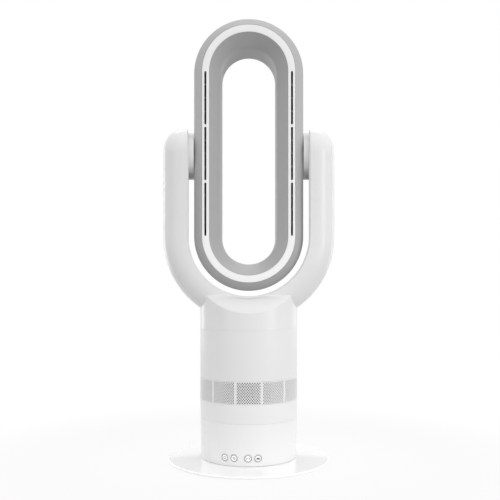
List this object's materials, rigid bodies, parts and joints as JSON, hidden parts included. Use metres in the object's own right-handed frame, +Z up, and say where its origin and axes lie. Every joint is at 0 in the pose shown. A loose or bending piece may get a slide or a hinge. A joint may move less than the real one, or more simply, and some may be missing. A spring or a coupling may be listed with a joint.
{
  "type": "bladeless fan",
  "caption": "Tower fan with an open oblong air loop that tilts between the arms of a yoke, on a swinging round tower over a low housing with keys and a thin round base plate.",
  "frame": {"origin": "centre of the round face it stands on", "axes": "+Z up, the front with the keys and the air slots faces -Y, +X to the right seen from the front"},
  "size_m": [0.24, 0.225, 0.611],
  "materials": {
    "base_gloss": "gloss white",
    "body_white": "satin white",
    "yoke_gloss": "gloss white",
    "silver": "satin silver paint",
    "key_white": "satin white with a printed grey ring and sign",
    "inner_plastic": "matte light grey",
    "dark_plastic": "matte black",
    "circuit_board": "matte green",
    "steel": "bare",
    "rubber": "matte black"
  },
  "bodies": {
    "base": {"foot_ring": "rubber", "base_plate": "base_gloss", "lower_housing": "body_white", "control_board": "circuit_board", "cord_gland": "dark_plastic", "deck_plate": "inner_plastic", "bearing_ring": "inner_plastic", "sun_gear": "inner_plastic", "base_screw_1": "steel", "base_screw_2": "steel", "base_screw_3": "steel", "base_screw_4": "steel"},
    "tower": {"turntable": "inner_plastic", "axle_nut": "steel", "swing_motor": "steel", "lower_shroud": "body_white", "intake_grille": "body_white", "upper_shell": "body_white", "inlet_duct": "inner_plastic", "stator": "inner_plastic", "fan_motor": "steel", "neck_gasket": "rubber", "yoke_front": "yoke_gloss", "yoke_rear": "yoke_gloss"},
    "loop": {"loop_bezel": "silver", "loop_band": "yoke_gloss", "loop_flare": "silver", "loop_rear_casing": "silver", "trunnion_right": "yoke_gloss", "trunnion_left": "yoke_gloss", "friction_washer_right": "rubber", "friction_washer_left": "rubber", "pivot_clip_right": "steel", "pivot_clip_left": "steel"},
    "rotor": {"impeller": "inner_plastic"},
    "pinion": {"drive_pinion": "inner_plastic"},
    "key_body_1": {"key_1": "key_white"},
    "key_body_2": {"key_2": "key_white"},
    "key_body_3": {"key_3": "key_white"},
    "key_body_4": {"key_4": "key_white"}
  },
  "joints": [
    {"name": "swing", "type": "hinge", "parent": "base", "child": "tower", "pos_m": [0, 0, 0.055], "axis": [0, 0, 1], "range_deg": [-40, 40]},
    {"name": "tilt", "type": "hinge", "parent": "tower", "child": "loop", "pos_m": [0, 0, 0.4258], "axis": [1, 0, 0], "range_deg": [-30, 30]},
    {"name": "impeller_spin", "type": "hinge", "parent": "tower", "child": "rotor", "pos_m": [0, 0, 0.135], "axis": [0, 0, 1], "continuous": true},
    {"name": "pinion_spin", "type": "hinge", "parent": "tower", "child": "pinion", "pos_m": [0, 0.03, 0.052], "axis": [0, 0, 1], "range_deg": [-112, 112]},
    {"name": "key_press_1", "type": "slide", "parent": "base", "child": "key_body_1", "axis": [0.4718, 0.8817, 0], "range_m": [0, 0.0008], "stiffness_N_per_m": 900, "springref_m": -0.0003},
    {"name": "key_press_2", "type": "slide", "parent": "base", "child": "key_body_2", "axis": [0.2882, 0.9576, 0], "range_m": [0, 0.0008], "stiffness_N_per_m": 900, "springref_m": -0.0003},
    {"name": "key_press_3", "type": "slide", "parent": "base", "child": "key_body_3", "axis": [0.0113, 0.9999, 0], "range_m": [0, 0.0008], "stiffness_N_per_m": 900, "springref_m": -0.0003},
    {"name": "key_press_4", "type": "slide", "parent": "base", "child": "key_body_4", "axis": [-0.1865, 0.9825, 0], "range_m": [0, 0.0008], "stiffness_N_per_m": 900, "springref_m": -0.0003}
  ],
  "couplings": [
    {"joint": "pinion_spin", "follows": "swing", "ratio": 2.75}
  ]
}
